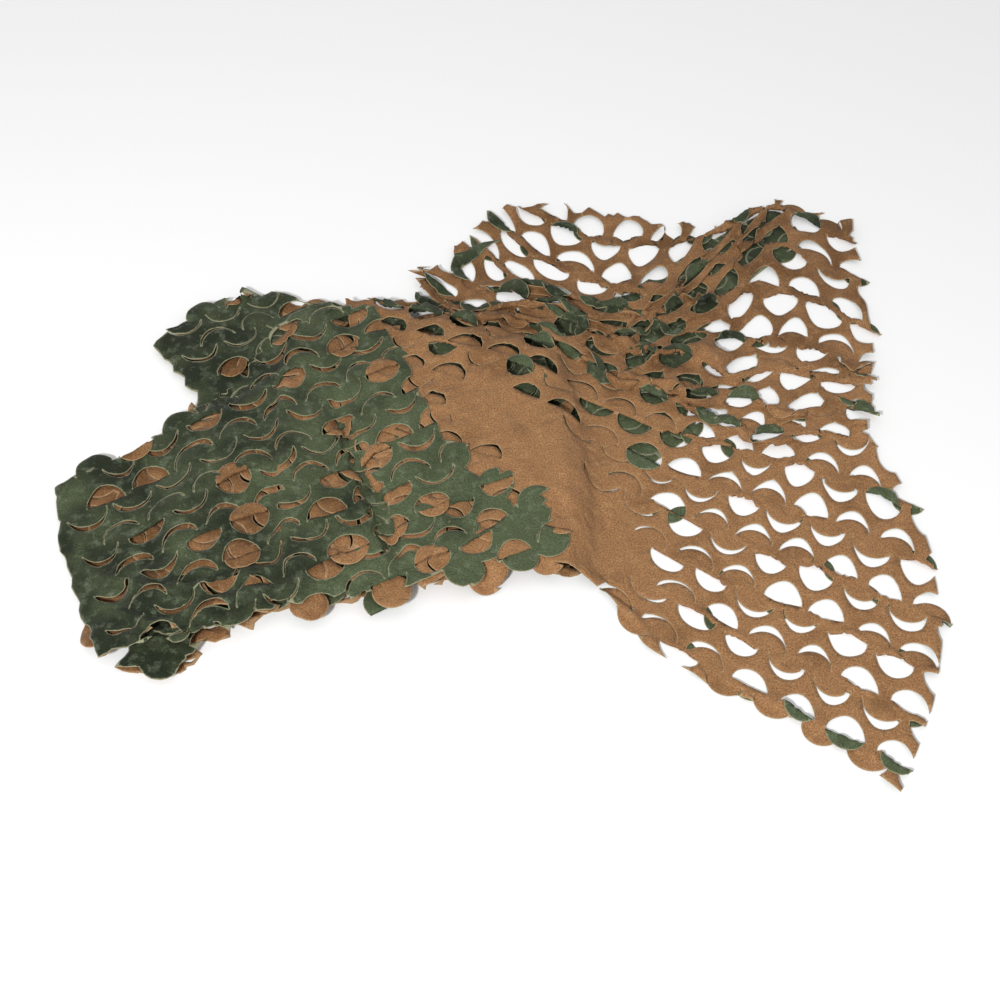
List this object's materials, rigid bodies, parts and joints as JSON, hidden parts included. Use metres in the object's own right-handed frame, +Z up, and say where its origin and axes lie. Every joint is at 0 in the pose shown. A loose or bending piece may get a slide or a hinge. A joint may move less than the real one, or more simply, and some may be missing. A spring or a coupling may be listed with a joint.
{
  "type": "camouflage net",
  "caption": "One-piece incised camouflage net of thin two-sided cloth, one end folded into a flat packet and the other spread out with its curved cuts pulled open.",
  "frame": {"origin": "middle of the footprint of the laid-out net, on the floor it lies on", "axes": "+X along the net from the folded packet to the spread end, +Y across it from the near edge to the far edge, +Z up"},
  "size_m": [1.3648, 1.211, 0.0509],
  "materials": {
    "coated_cloth": "thin coated polyester cloth, brown on this side and dark green on the other, slightly creased, soft sheen"
  },
  "bodies": {
    "root": {"camouflage_net": "coated_cloth"}
  },
  "joints": []
}
